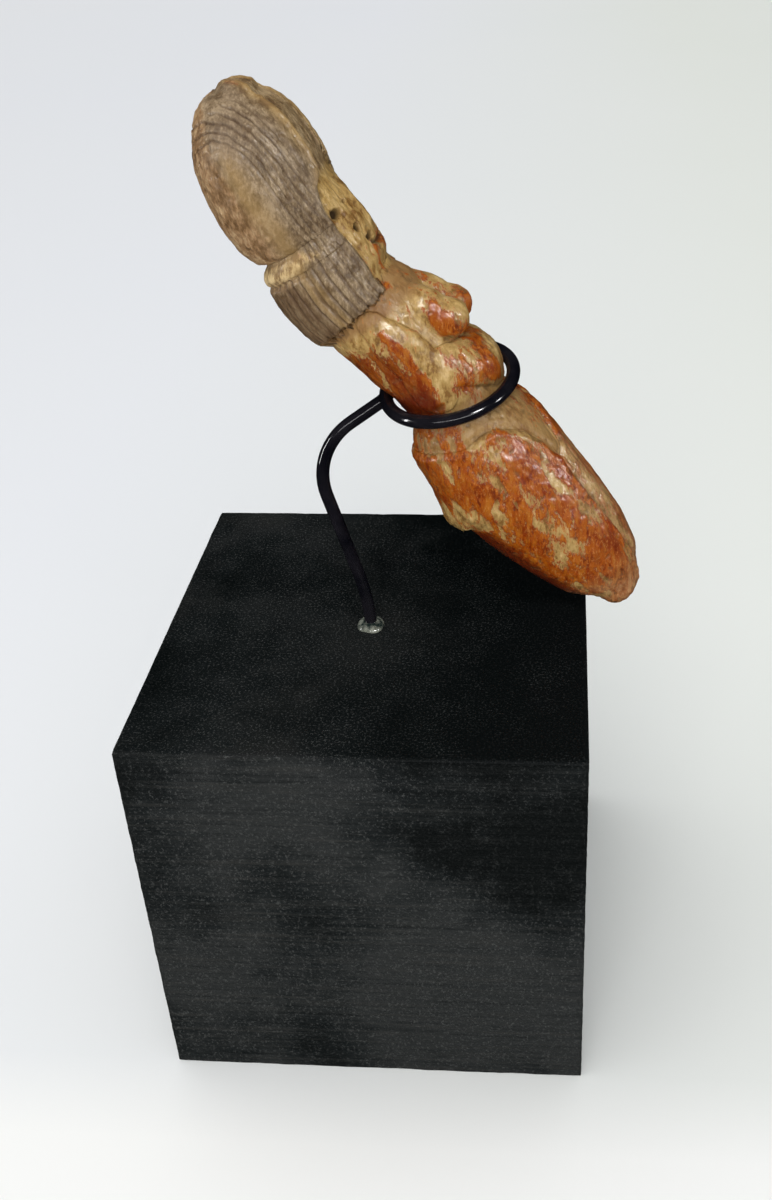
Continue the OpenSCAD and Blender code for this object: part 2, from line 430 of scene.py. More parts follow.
# Hollows pressed in each side of the face: s, angle, half height, half width, depth
FACE_HOLLOWS = [
    (22.6, 18, 0.20, 0.34, 0.4), (22.3, 38, 0.50, 0.85, 0.75), (19.9, 27, 0.45, 0.50, 0.6),
    (18.3, 16, 0.32, 0.60, 0.5), (16.6, 9, 0.20, 0.45, 0.25),
]


def press_face(detail, p, side, window):
    """Add the face to the detail: a soft nose, creased cheeks, hollows and a mouth slit."""
    s = p[..., 0]
    nose_d, _ = line_distance(s, side, [(23.2, 0), (19.6, 0)])
    detail = detail + 0.32 * bump(nose_d, 0.75) * window * (s < 25)
    cheek_d, _ = line_distance(s, side, [(24.4, 18), (22.1, 19), (20.0, 19), (18.4, 24), (17.0, 29)])
    detail = detail - 0.12 * bump(cheek_d, 0.28)
    holes = 0
    for hole_s, hole_angle, tall, wide, deep in FACE_HOLLOWS:
        d = np.hypot((s - hole_s) / tall, (side - hole_angle) * ARC / wide)
        hollow = smoothstep(1.3, 0.7, d * (1 + 0.5 * fractal(p, 0.6, 2, 7)))
        detail = detail - deep * hollow
        holes = np.maximum(holes, hollow * min(1, deep + 0.35))
    mouth_d, _ = line_distance(s, side, [(17.7, 19), (17.3, 9), (17.2, 0)])
    mouth = bump(mouth_d, 0.2 + 0.14 * smoothstep(18, 4, side))
    return detail - 0.5 * mouth, np.maximum(holes, 0.8 * mouth)


def doll_surface():
    """The doll's skin as a grid of points, their angles, the material's masks, and the radii
    and leg line that tell its elements apart."""
    p, angle = doll_grid()
    normal = grid_normals(p)
    s, x, y = p[..., 0], p[..., 1], p[..., 2]
    side = np.abs(angle)
    _, body, breasts, arms, below = form(s, angle)
    (edge,) = face_edge(s)
    (low,) = hair_edge(side)
    window = smoothstep(edge + 1.0, edge - 1.0, side)
    on_hair = smoothstep(-0.1, 0.2, s - low) * (1 - window)
    on_cap = smoothstep(21.9, 22.6, s)
    wander = fractal(p, 5.0, 3, 5)
    lines, strip, strip_lines = hair_cuts(p, side, on_hair, window, on_cap, wander)
    detail = -0.19 * lines - 0.07 * strip_lines

    # Lump at the crown, and small lumps down the side of the cap
    knob = np.sqrt((s - 37.8) ** 2 + (x - 0.8) ** 2 + (0.8 * y) ** 2) + 0.5 * wander
    detail = detail + 0.38 * smoothstep(2.3, 1.4, knob) - 0.15 * bump(knob - 2.8, 0.4)
    lumps = np.maximum(fractal(p, 0.9, 2, 111), 0) * bump(side - 102, 13)
    detail = detail + 0.28 * lumps * on_cap * on_hair

    # Hand-modelled unevenness, slip streaks and pitting
    detail = detail + 0.10 * wander + 0.09 * fractal(p * [0.5, 1, 1], 1.5, 4, 31)
    grain = fractal(p * [0.5, 1, 1], 0.55, 2, 41)
    detail = detail + (0.07 + 0.04 * on_hair) * grain
    detail = detail + 0.05 * (1 - on_hair) * fractal(p * [0.45, 1, 1], 0.36, 2, 45)
    pits = smoothstep(0.40, 0.60, fractal(p, 0.8, 2, 51))
    detail = detail - 0.06 * pits

    detail, holes = press_face(detail, p, side, window)

    # Wrinkled, worn clay at the waist and over the ledge
    waist = bump(s - 0.4, 1.5) * smoothstep(50, 75, side)
    wrinkles = fractal(p * [1.6, 0.7, 0.7], 0.9, 3, 61)
    detail = detail + 0.09 * waist * wrinkles
    worn = smoothstep(-15.2, -14.4, s) * smoothstep(-9.5, -11.5, s) * smoothstep(108, 122, side)
    detail = detail + 0.14 * worn * fractal(p, 0.8, 3, 71)

    masks = clay_masks(p, angle, below, on_hair, window, strip, worn)
    masks.update(lines=lines + 0.5 * strip_lines, holes=holes, pits=pits)
    detail = detail + 0.06 * smoothstep(0.40, 0.56, masks["slip"]) * (1 - on_hair)
    p = p + normal * detail[..., None]
    return p, angle, masks, (body, breasts, arms, below)


# Places on the near leg where the slip is rubbed through: s, angle, half length, half width
WORN_SPOTS = [
    (-7.6, -70, 1.7, 0.65), (-6.4, -111, 1.6, 0.65), (-11.5, -44, 2.8, 0.55), (-15.0, -44, 1.2, 0.7),
    (-16.8, -80, 1.1, 0.4), (-18.9, -71, 0.8, 0.9), (-21.8, -80, 1.4, 1.2), (-20.6, -50, 0.6, 0.7),
    (-24.6, -83, 0.9, 0.55), (-12.5, -122, 2.4, 1.3), (-4.9, -78, 0.6, 1.4), (-14.0, -80, 1.6, 0.25),
]


def slip_zones(s, angle, leg):
    """Where the slip wears or darkens: beside the groove, below, outside the arms, low back. The
    darkening there is partly the slip's own dark red, partly painted shade.
    """
    side = np.abs(angle)
    across = (angle - leg_parting(s)) * ARC
    far_strip = smoothstep(-0.1, 0.3, across) * smoothstep(4.5, 3.0, across) * smoothstep(-11, -13, s)
    underside = smoothstep(108, 128, side) * leg * smoothstep(-14.0, -16, s)
    outer_arm = smoothstep(84, 94, side) * smoothstep(10.5, 8.5, s) * smoothstep(-2.5, -1, s)
    low_back = bump(s - 1.2, 1.7) * smoothstep(84, 96, side)
    return far_strip, underside, outer_arm * (1 - leg), low_back * (1 - leg)


def slip_left(s, angle, leg, zones, on_hair, window, worn):
    """How much slip is left in each place, from 0 to about 1."""
    side = np.abs(angle)
    above = 1 - leg
    far_strip, underside, outer_arm, low_back = zones
    crest = bump((angle - leg_parting(s)) * ARC + 0.65, 0.3) * smoothstep(-12, -14, s)
    left = 0.14 + leg * (0.52 - 0.10 * smoothstep(-26, -30, s) - 0.17 * far_strip - 0.16 * crest)
    for spot_s, spot_angle, length, width in WORN_SPOTS:
        d = np.hypot((s - spot_s) / length, (angle - spot_angle) * ARC / width)
        left = left - 0.30 * bump(d, 1.0)
    left = left + 0.45 * underside

    streak_d, _ = line_distance(s, side, [(10.2, 82), (6.0, 84), (2.5, 87)])
    left = left + 0.52 * bump(streak_d, 0.55) + 0.44 * outer_arm + 0.3 * low_back
    forearm = bump(np.hypot((s - 0.4 - 0.02 * (side - 40)) / 1.7, (side - 38) / 25), 1.0)
    breast_d, _ = line_distance(s, side, [(10.6, 37), (8.4, 33), (6.4, 30), (5.2, 22), (4.8, 4)])
    throat_d, _ = line_distance(s, side, [(15.2, 25), (13.6, 17), (12.8, 6)])
    belly_d, _ = line_distance(s, side, [(-4.0, 15), (-7.8, 18)])
    left = left + 0.52 * forearm * above + 0.29 * bump(breast_d, 0.8) + 0.24 * bump(throat_d, 0.4)
    left = left + 0.4 * bump(belly_d, 0.6) * above
    left = left + 0.26 * smoothstep(-1.6, -2.6, s) * above * smoothstep(75, 95, side)
    left = left + 0.10 * smoothstep(12, 9, s) * above
    left = left * (1 - 0.8 * worn) * (1 - on_hair) * (1 - 0.7 * window * smoothstep(17.5, 19, s))
    spot_d = np.minimum(np.hypot(s - 14.2, (side - 85) * ARC), np.hypot(s - 13.6, (side - 43) * ARC))
    return left + 0.55 * bump(spot_d, 0.7)


def clay_masks(p, angle, below, on_hair, window, strip, worn):
    """Shares from 0 to 1 of what the clay's colour and polish depend on, at each point."""
    s, side = p[..., 0], np.abs(angle)
    leg = smoothstep(-0.1, 0.5, below)
    fibres = fractal(p * [0.28, 1, 1], 0.95, 4, 81)
    blotches = fractal(p * [0.5, 1, 1], 2.4, 3, 91)
    zones = slip_zones(s, angle, leg)
    far_strip, underside, outer_arm, low_back = zones
    left = slip_left(s, angle, leg, zones, on_hair, window, worn)
    feet = leg * smoothstep(-26, -31, s)

    tie = bump((s - TIE - 0.5 * fibres) / (0.4 + 0.6 * smoothstep(75, 120, side)), 0.95)
    tie = tie * (1 - window) * smoothstep(66, 90, side)
    left_edge = on_hair * smoothstep(100, 116, side + 8 * fibres) * (1 - tie)
    ochre = 0.9 * bump((side - 98 + 8 * blotches) / 9, 1.0) * smoothstep(35, 31, s)
    ochre = ochre + bump(side - face_edge(s)[0] - 1, 8) * smoothstep(25, 27, s)
    hair = on_hair * (1 - 0.8 * tie) * (1 - 0.35 * bump(side - 28, 10) * smoothstep(28, 31, s))
    ash = bump(np.hypot(s - 34.3, (side - 94) * ARC * 0.9), 2.2)
    ash = ash + 0.4 * smoothstep(-0.1, 0.6, fractal(p * [0.5, 1, 1], 2.4, 3, 101))
    # Painted shade: the lower back of the hair fall and a band down the back of the cap, which face away
    # from the light
    hair_painted_shade = on_hair * smoothstep(19.8, 18.8, s) * smoothstep(98, 114, side + 10 * fibres)
    hair_painted_shade = hair_painted_shade + 0.4 * bump((side - 117) / 4, 1.0) * smoothstep(27, 30, s)
    # The chest under the hair and the belly below the waist are left matte, and their buff is darkened as
    # painted shade
    chest = smoothstep(10.6, 11.8, s) * smoothstep(15.0, 14.0, s)
    belly = smoothstep(-0.5, -1.5, s)
    return {
        "slip": np.clip(left + 0.66 * fibres + 0.34 * blotches, 0, 1),
        # Dark red slip deepened by painted shade on the underside, low back and outside the arms
        "dark_slip_and_shade": np.clip(underside + 0.85 * low_back + 0.45 * outer_arm + 0.15 * blotches, 0, 1),
        "umber": np.clip(left_edge + 0.85 * feet + 0.7 * far_strip, 0, 1),
        "hair": np.maximum(hair, 0.8 * strip),
        "tie": np.clip(tie, 0, 1) * on_hair,
        "ochre": np.clip(ochre, 0, 1) * on_hair,
        "ash": np.clip(ash, 0, 1) * on_hair,
        "hair_painted_shade": np.clip(hair_painted_shade, 0, 1),
        "matte_and_shade": (1 - leg) * np.maximum(chest, 0.7 * belly),
    }


NAMES = [
    "torso", "head", "hair_cap", "hair_tie", "hair_fall", "right_breast", "left_breast",
    "right_arm", "left_arm", "right_leg", "left_leg",
]


def element_map(p, angle, parts):
    """Which clay element each grid point belongs to, as an index in NAMES."""
    body, breasts, arms, below = parts
    s, side = p[..., 0], np.abs(angle)
    (edge,) = face_edge(s)
    (low,) = hair_edge(side)
    label = np.full(s.shape, NAMES.index("torso"))
    for name, radius in list(breasts.items()) + list(arms.items()):
        rivals = [r for n, r in list(breasts.items()) + list(arms.items()) if n != name]
        wins = (radius > body + 0.02) & np.all([radius >= r for r in rivals], axis=0)
        wins &= (angle < 0) == name.startswith("right")
        label[wins & (s < 13) & (s > -3)] = NAMES.index(name)
    label[(below > 0) & (angle < 0)] = NAMES.index("right_leg")
    label[(below > 0) & (angle >= 0)] = NAMES.index("left_leg")
    on_head = s > low
    label[on_head] = NAMES.index("hair_fall")
    label[on_head & (s > FALL_EDGE)] = NAMES.index("hair_tie")
    label[on_head & (s > CAP_EDGE)] = NAMES.index("hair_cap")
    label[on_head & (side < edge) & (s < FACE_TOP)] = NAMES.index("head")
    return label


def to_world(p):
    return (WAIST + p[..., :1] * UP + p[..., 1:2] * FACING + p[..., 2:3] * LEFT) * MM


def border_loops(quads):
    """Closed chains of the edges that only one quad has, each in its quad's direction."""
    edges = np.concatenate([quads[:, [k, (k + 1) % 4]] for k in range(4)])
    known = set(map(tuple, edges.tolist()))
    following = {}
    for a, b in known:
        if (b, a) not in known:
            following.setdefault(a, []).append(b)
    loops = []
    while following:
        first = min(following)
        chain, here = [], first
        while here in following:
            chain.append(here)
            onward = following[here].pop()
            if not following[here]:
                del following[here]
            here = onward
        loops.append(chain)
    return loops


def doll_pieces():
    """One closed mesh for each clay element, with the masks as attributes."""
    p, angle, masks, parts = doll_surface()
    label = element_map(p, angle, parts)
    rows, columns = label.shape
    index = np.arange(rows * columns).reshape(rows, columns)
    right = np.roll(index, -1, axis=1)
    quads = np.stack([index[:-1], right[:-1], right[1:], index[1:]], axis=-1).reshape(-1, 4)
    owner = label.ravel()[quads[:, 0]]
    flat = p.reshape(-1, 3)
    made = []
    for number, name in enumerate(NAMES):
        faces = quads[owner == number]
        used, local = np.unique(faces, return_inverse=True)
        local = local.reshape(-1, 4)
        points = flat[used]
        # Each opening is closed by a cone: a flat one to its middle, another to a point inside
        extra, cones = [], []
        for loop in border_loops(local):
            rim = points[loop]
            apex = rim.mean(axis=0)
            if np.ptp(rim[:, 0]) >= 0.4:
                (centre_x,) = axis_track(apex[0])
                apex = apex * 0.45 + np.array([apex[0], centre_x, 0]) * 0.55
            tip = len(points) + len(extra)
            extra.append(apex)
            cones += [(b, a, tip) for a, b in zip(loop, loop[1:] + loop[:1])]
        if extra:
            points = np.vstack([points, extra])
        mesh = bpy.data.meshes.new(name + "_clay")
        mesh.from_pydata(to_world(points).tolist(), [], local.tolist() + cones)
        for key, mask in masks.items():
            values = np.concatenate([mask.ravel()[used], np.zeros(len(extra))])
            layer = mesh.attributes.new(key, "FLOAT", "POINT")
            layer.data.foreach_set("value", values.astype(np.float32))
        mesh.polygons.foreach_set("use_smooth", [True] * len(mesh.polygons))
        mesh.validate()
        mesh.update()
        obj = bpy.data.objects.new(name + "_clay", mesh)
        bpy.context.collection.objects.link(obj)
        made.append((name, obj))
    return made


# -------------------- materials

class Shader:
    """A material's node tree with short calls for the nodes used here."""

    def __init__(self, name):
        self.material = bpy.data.materials.new(name)
        self.material.use_nodes = True
        self.tree = self.material.node_tree
        self.surface = self.tree.nodes["Principled BSDF"]
        self.place = self.tree.nodes.new("ShaderNodeTexCoord").outputs["Object"]

    def node(self, kind, inputs=None, **settings):
        n = self.tree.nodes.new("ShaderNode" + kind)
        for key, value in settings.items():
            setattr(n, key, value)
        for key, value in (inputs or {}).items():
            self.put(n.inputs[key], value)
        return n

    def put(self, socket, value):
        if isinstance(value, bpy.types.NodeSocket):
            self.tree.links.new(value, socket)
        else:
            socket.default_value = value

    def noise(self, scale, detail=4.0, rough=0.55, coords=None):
        n = self.node("TexNoise", {
            "Vector": coords or self.place, "Scale": scale, "Detail": detail, "Roughness": rough})
        return n.outputs["Fac"]

    def mapped(self, stretch, turn=(0, 0, 0)):
        return self.node("Mapping", {
            "Vector": self.place, "Rotation": turn, "Scale": stretch}).outputs["Vector"]

    def ramp(self, value, stops):
        n = self.node("ValToRGB", {"Fac": value})
        elements = n.color_ramp.elements
        while len(elements) < len(stops):
            elements.new(0.5)
        for element, (at, colour) in zip(elements, stops):
            element.position = at
            element.color = (*colour, 1)
        return n.outputs["Color"]

    def level(self, value, low, high, out_low=0.0, out_high=1.0):
        n = self.node("MapRange", {
            "Value": value, "From Min": low, "From Max": high, "To Min": out_low, "To Max": out_high})
        return n.outputs["Result"]

    def mix(self, factor, a, b):
        n = self.node("Mix", data_type="RGBA")
        self.put(n.inputs[0], factor)
        for socket, value in ((n.inputs[6], a), (n.inputs[7], b)):
            self.put(socket, (*value, 1) if isinstance(value, tuple) else value)
        return n.outputs[2]

    def math(self, operation, a, b=0.0, clamp=False):
        n = self.node("Math", operation=operation, use_clamp=clamp)
        self.put(n.inputs[0], a)
        self.put(n.inputs[1], b)
        return n.outputs[0]

    def attribute(self, name):
        return self.node("Attribute", attribute_name=name).outputs["Fac"]

    def bump(self, height, distance, strength):
        return self.node("Bump", {
            "Height": height, "Distance": distance, "Strength": strength}).outputs["Normal"]

    def finish(self, **sockets):
        for key, value in sockets.items():
            self.put(self.surface.inputs[key.replace("_", " ")], value)
        return self.material


LEAN = math.atan2(-UP[0], UP[2])


def clay():
    """Fired clay: buff body, worn red slip and grey-brown hair, burnished all over."""
    m = Shader("fired_clay")
    m.surface.inputs["Specular IOR Level"].default_value = 0.12
    fibre = m.noise(1500, 5, 0.72, m.mapped((1.0, 1.0, 0.25), (0, LEAN, 0)))
    cloud = m.noise(420, 4, 0.65)
    grit = m.noise(4200, 3, 0.7, m.mapped((1.0, 1.0, 0.5), (0, LEAN, 0)))
    slip, hair = m.attribute("slip"), m.attribute("hair")
    fleck = m.level(grit, 0.38, 0.62, -1, 1)
    thread = m.level(fibre, 0.38, 0.62, -1, 1)

    mottle = m.math("ADD", m.math("MULTIPLY", thread, 0.30), m.math("MULTIPLY", fleck, 0.10))
    mottle = m.math("ADD", mottle, m.level(cloud, 0.35, 0.65, 0.15, 0.85))
    buff = m.ramp(mottle, [
        (0.05, (0.19, 0.09, 0.022)), (0.35, (0.35, 0.21, 0.066)), (0.65, (0.43, 0.275, 0.095)),
        (0.95, (0.56, 0.38, 0.16))])
    worn = m.math("ADD", slip, m.math("MULTIPLY", thread, 0.20))
    worn = m.math("ADD", worn, m.math("MULTIPLY", fleck, 0.09))
    red = m.ramp(worn, [
        (0.34, (0.44, 0.22, 0.085)), (0.43, (0.40, 0.16, 0.065)), (0.48, (0.22, 0.035, 0.004)),
        (0.53, (0.27, 0.045, 0.002)), (0.60, (0.37, 0.090, 0.003)), (0.70, (0.27, 0.048, 0.001)),
        (0.80, (0.34, 0.075, 0.002)), (0.95, (0.20, 0.026, 0.001))])
    red = m.mix(m.level(thread, 0.1, 1.0, 0, 0.6), red, (0.41, 0.135, 0.008))
    red = m.mix(m.level(thread, -0.1, -0.9, 0, 0.85), red, (0.19, 0.020, 0.001))
    # Pale orange on the brightest flecks: partly pale grit in the slip, partly painted glints
    red = m.mix(m.level(fleck, 0.45, 1.0, 0, 0.5), red, (0.50, 0.21, 0.05))
    red = m.mix(m.level(mottle, 0.25, 0.0, 0, 0.7), red, (0.13, 0.018, 0.002))
    # Near-black red on the underside, low back and outside the arms: partly dark slip, partly painted
    # shade
    red = m.mix(m.math("MULTIPLY", m.attribute("dark_slip_and_shade"), 0.85), red, (0.10, 0.010, 0.002))
    locks = m.ramp(m.math("ADD", mottle, m.math("MULTIPLY", fleck, 0.16)), [
        (0.05, (0.105, 0.066, 0.034)), (0.35, (0.175, 0.117, 0.063)), (0.6, (0.225, 0.156, 0.088)),
        (0.95, (0.33, 0.24, 0.145))])
    locks = m.mix(m.math("MULTIPLY", m.attribute("ash"), 0.38), locks, (0.29, 0.215, 0.155))
    locks = m.mix(m.math("MULTIPLY", m.attribute("ochre"), 0.55), locks, (0.38, 0.235, 0.085))
    umber = m.ramp(mottle, [
        (0.05, (0.16, 0.080, 0.028)), (0.5, (0.33, 0.185, 0.085)), (0.95, (0.50, 0.33, 0.17))])
    locks = m.mix(m.math("MULTIPLY", m.attribute("umber"), 0.75), locks, umber)
    # Near-black brown on the back of the fall and cap: painted shade
    locks = m.mix(m.math("MULTIPLY", m.attribute("hair_painted_shade"), 0.62), locks, (0.050, 0.034, 0.020))

    # Darker buff on the chest under the hair and on the belly: painted shade
    buff = m.mix(m.math("MULTIPLY", m.attribute("matte_and_shade"), 0.75), buff, (0.24, 0.120, 0.045))
    colour = m.mix(m.level(worn, 0.33, 0.45), buff, red)
    colour = m.mix(m.math("MULTIPLY", m.attribute("umber"), 0.55), colour, umber)
    colour = m.mix(hair, colour, locks)
    # Pale buff on the hair tie: partly its paler clay, partly painted light and highlight on a band that
    # faces downwards
    tie = m.math("MULTIPLY", m.attribute("tie"), m.level(mottle, 0.1, 0.8, 0.15, 0.75))
    colour = m.mix(tie, colour, (0.76, 0.57, 0.31))
    # Darker in the cut strands, the pits and the face hollows: painted shade in these recesses
    colour = m.mix(m.level(m.attribute("lines"), 0, 1, 0, 0.66), colour, (0.075, 0.040, 0.022))
    colour = m.mix(m.level(m.attribute("pits"), 0, 1, 0, 0.4), colour, (0.12, 0.065, 0.025))
    colour = m.mix(m.attribute("holes"), colour, (0.045, 0.025, 0.008))

    height = m.math("ADD", m.math("MULTIPLY", thread, 0.14), m.math("MULTIPLY", fleck, 0.06))
    height = m.math("ADD", height, m.level(worn, 0.42, 0.54, 0, 0.30))
    rough = m.math("ADD", m.level(fibre, 0.35, 0.65, 0.30, 0.46), m.attribute("holes"))
    polish = m.level(m.math("ADD", cloud, m.math("MULTIPLY", slip, 0.15)), 0.44, 0.66, 0.05, 0.75)
    polish = m.math("MULTIPLY", polish, m.level(hair, 0, 1, 1, 0.4))
    polish = m.math("MULTIPLY", polish, m.level(m.attribute("matte_and_shade"), 0, 1, 1, 0.15))
    polish = m.math("SUBTRACT", polish, m.math("MULTIPLY", m.attribute("holes"), 1.5), clamp=True)
    return m.finish(
        Base_Color=colour, Roughness=rough, Normal=m.bump(height, 0.00010, 0.9),
        Coat_Weight=polish, Coat_Roughness=m.level(fibre, 0.35, 0.65, 0.07, 0.16),
        Coat_Normal=m.bump(height, 0.00006, 0.8))


def block_material():
    """Black stain over sawn wood, thinner in patches, with pale dust in the grain; painted shade on the
    top and a painted shadow of the doll towards the upper right.
    """
    m = Shader("black_stained_wood")
    apart = m.node("SeparateXYZ", {"Vector": m.place}).outputs
    # Painted shadow of the doll: darker towards the upper right of the top and front. The sides are
    # lighter towards the bottom.
    deep = m.math("MULTIPLY", m.level(apart["X"], 0.002, 0.016), m.level(apart["Z"], 0.020, 0.042))
    cloud = m.math("SUBTRACT", m.noise(45, 5, 0.62), m.math("MULTIPLY", deep, 0.18))
    cloud = m.math("ADD", cloud, m.level(apart["Z"], 0.05, 0.02, 0, 0.08))
    saw = m.noise(1500, 5, 0.75, m.mapped((0.03, 0.03, 1.0)))
    pores = m.noise(3800, 3, 0.7)
    stain = m.ramp(cloud, [(0.38, (0.0010, 0.0026, 0.0026)), (0.50, (0.0065, 0.0090, 0.0095)),
                           (0.62, (0.0195, 0.0215, 0.0215))])
    dust = m.level(cloud, 0.36, 0.52, 0.15, 1)
    pale_saw = m.math("MULTIPLY", m.level(saw, 0.50, 0.66, 0, 0.5), dust)
    stain = m.mix(pale_saw, stain, (0.032, 0.031, 0.028))
    stain = m.mix(m.level(saw, 0.46, 0.36, 0, 0.4), stain, (0.001, 0.002, 0.002))
    # Painted shade on the top, which catches the most light from above: pushed towards black, more on the
    # right
    top = m.level(apart["Z"], 0.0502, 0.0507)
    top = m.math("MULTIPLY", top, m.level(apart["X"], -0.016, 0.016, 0.45, 0.90))
    stain = m.mix(top, stain, (0.0, 0.0014, 0.0016))
    pale_pores = m.math("MULTIPLY", m.level(pores, 0.55, 0.66, 0, 0.8), dust)
    stain = m.mix(pale_pores, stain, (0.056, 0.058, 0.056))
    height = m.math("ADD", m.math("MULTIPLY", saw, 0.7), m.math("MULTIPLY", pores, 0.6))
    m.surface.inputs["Specular IOR Level"].default_value = 0.12
    return m.finish(Base_Color=stain, Roughness=m.level(pores, 0.3, 0.7, 0.55, 0.8),
                    Normal=m.bump(height, 0.00015, 0.8))


def rod_material():
    m = Shader("black_rod")
    m.surface.inputs["Specular IOR Level"].default_value = 0.35
    colour = m.ramp(m.noise(300, 3), [(0.4, (0.003, 0.003, 0.005)), (0.7, (0.010, 0.009, 0.012))])
    return m.finish(Base_Color=colour, Roughness=m.level(m.noise(700, 3), 0.3, 0.7, 0.08, 0.16))


def glue_material():
    m = Shader("glue")
    # Pale patches in the dark glue: partly whitish glue, partly painted highlights
    colour = m.ramp(m.noise(900, 3), [(0.42, (0.012, 0.020, 0.018)), (0.62, (0.22, 0.23, 0.19))])
    return m.finish(Base_Color=colour, Roughness=m.level(m.noise(1500, 3), 0.3, 0.7, 0.10, 0.2))


# -------------------- stand

# The rod's radius, its ring, where its centreline would turn sharply and the radii it bends
# with there, the angles in the ring where it joins and ends, and its straight run before it
ROD_R = 0.75
RING_R = 7.14
RING_NORMAL = np.array([-0.186, -0.175, 0.967])
BEND_CORNERS = [(-0.62, -1.25, 54.6), (-6.16, -0.69, 74.28), (3.22, 1.05, 80.42)]
BEND_RADII = [30, 8, 2.4, 2]
JOIN_ANGLE, FREE_END_ANGLE, LEAD_IN = 139, 172, 1.89
RING_STEPS = 140
HOLE_R = 0.99
HOLE_BOTTOM = SIDE - 12.7
BEAD_R, BEAD_H = 1.65, 0.8


def unit(v):
    return np.asarray(v, dtype=float) / np.linalg.norm(v)


def rod_line():
    """Centreline of the rod, from the bottom of its hole to its free end in the ring."""
    n = unit(RING_NORMAL)
    u = unit(np.array([1, 0, 0]) - n[0] * n)
    v = np.cross(n, u)
    start = math.radians(JOIN_ANGLE)
    ring_start = WAIST + RING_R * (math.cos(start) * u + math.sin(start) * v)
    heading = math.sin(start) * u - math.cos(start) * v
    route = [np.array([FOOT[0], FOOT[1], HOLE_BOTTOM])]
    route += [np.array(c, dtype=float) for c in BEND_CORNERS]
    route += [ring_start - LEAD_IN * heading, ring_start]
    line = [route[0]]
    for before, corner, after, r in zip(route, route[1:], route[2:], BEND_RADII):
        d1, d2 = unit(corner - before), unit(after - corner)
        inward = unit(np.cross(np.cross(d1, d2), d1))
        turn = math.acos(float(d1 @ d2))
        middle = corner - r * math.tan(turn / 2) * d1 + r * inward
        steps = max(6, int(math.degrees(turn) / 3))
        for k in range(steps + 1):
            t = turn * k / steps
            line.append(middle + r * (math.sin(t) * d1 - math.cos(t) * inward))
    sweep = 360 - (FREE_END_ANGLE - JOIN_ANGLE)
    for k in range(RING_STEPS + 1):
        a = math.radians(JOIN_ANGLE - sweep * k / RING_STEPS)
        line.append(WAIST + RING_R * (math.cos(a) * u + math.sin(a) * v))
    return np.array(line)


def spread(line, step):
    """Points every step mm along a line."""
    lengths = np.linalg.norm(np.diff(line, axis=0), axis=1)
    at = np.concatenate([[0], np.cumsum(lengths)])
    keep = np.concatenate([[True], lengths > 1e-6])
    line, at = line[keep], at[keep]
    places = np.linspace(0, at[-1], int(at[-1] / step) + 1)
    return np.stack([np.interp(places, at, line[:, k]) for k in range(3)], axis=1)


def tube(name, line, radius, sides):
    """A closed tube along a line. radius is one number per point."""
    heading = np.gradient(line, axis=0)
    heading /= np.linalg.norm(heading, axis=1, keepdims=True)
    spoke = np.array([1.0, 0, 0])
    points = []
    for at, d, r in zip(line, heading, radius):
        spoke = unit(spoke - (spoke @ d) * d)
        other = np.cross(d, spoke)
        for k in range(sides):
            a = 2 * math.pi * k / sides
            points.append(at + r * (math.cos(a) * spoke + math.sin(a) * other))
    count = len(line)
    faces = []
    for i in range(count - 1):
        for k in range(sides):
            n = (k + 1) % sides
            faces.append((i * sides + k, i * sides + n, (i + 1) * sides + n, (i + 1) * sides + k))
    faces.append(tuple(range(sides))[::-1])
    faces.append(tuple((count - 1) * sides + k for k in range(sides)))
    return make_mesh(name, points, faces)


def make_mesh(name, points, faces, smooth=True):
    mesh = bpy.data.meshes.new(name)
    mesh.from_pydata((np.array(points) * MM).tolist(), [], faces)
    mesh.polygons.foreach_set("use_smooth", [smooth] * len(mesh.polygons))
    mesh.validate()
    mesh.update()
    obj = bpy.data.objects.new(name, mesh)
    bpy.context.collection.objects.link(obj)
    return obj


def rod():
    """Bent rod with its free end rounded off."""
    step, rounding = 0.25, 0.35
    line = spread(rod_line(), step)
    left = np.linspace(0, len(line) * step, len(line))[::-1]
    round_end = np.sqrt(np.clip(1 - (1 - np.clip(left / rounding, 0, 1)) ** 2, 0.02, 1))
    radius = ROD_R * np.minimum(1, 0.45 + 0.55 * round_end)
    return tube("bent_rod", line, radius, 28)


